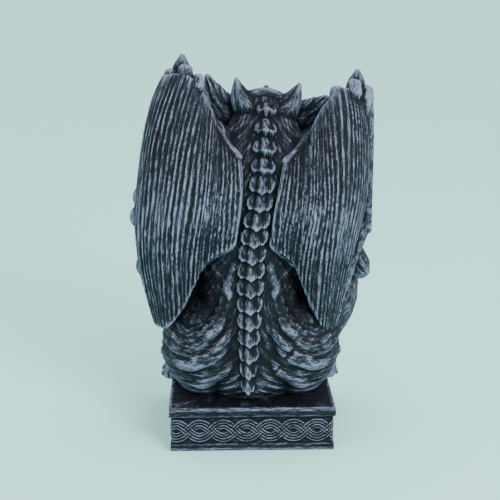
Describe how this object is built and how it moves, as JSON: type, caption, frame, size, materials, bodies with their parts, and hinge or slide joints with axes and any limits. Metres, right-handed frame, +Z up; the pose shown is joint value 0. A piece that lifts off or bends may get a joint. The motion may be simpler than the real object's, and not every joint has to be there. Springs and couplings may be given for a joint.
{
  "type": "gargoyle figurine",
  "caption": "Winged horned gargoyle squatting on a square plinth with an interlaced strap band, seen in dry-brushed dark slate finish.",
  "frame": {"origin": "centre of the plinth's underside", "axes": "+Z up through the gargoyle, -Y the way it faces, +X its left side"},
  "size_m": [0.1341, 0.097, 0.205],
  "materials": {
    "figure": "dark slate paint on stone-filled resin, dry-brushed pale blue-grey on the raised carving, matt with a slight sheen",
    "plinth": "dark slate paint on stone-filled resin, dry-brushed lightly on the strapwork and mouldings"
  },
  "bodies": {
    "root": {"gargoyle": "figure", "plinth": "plinth"}
  },
  "joints": []
}
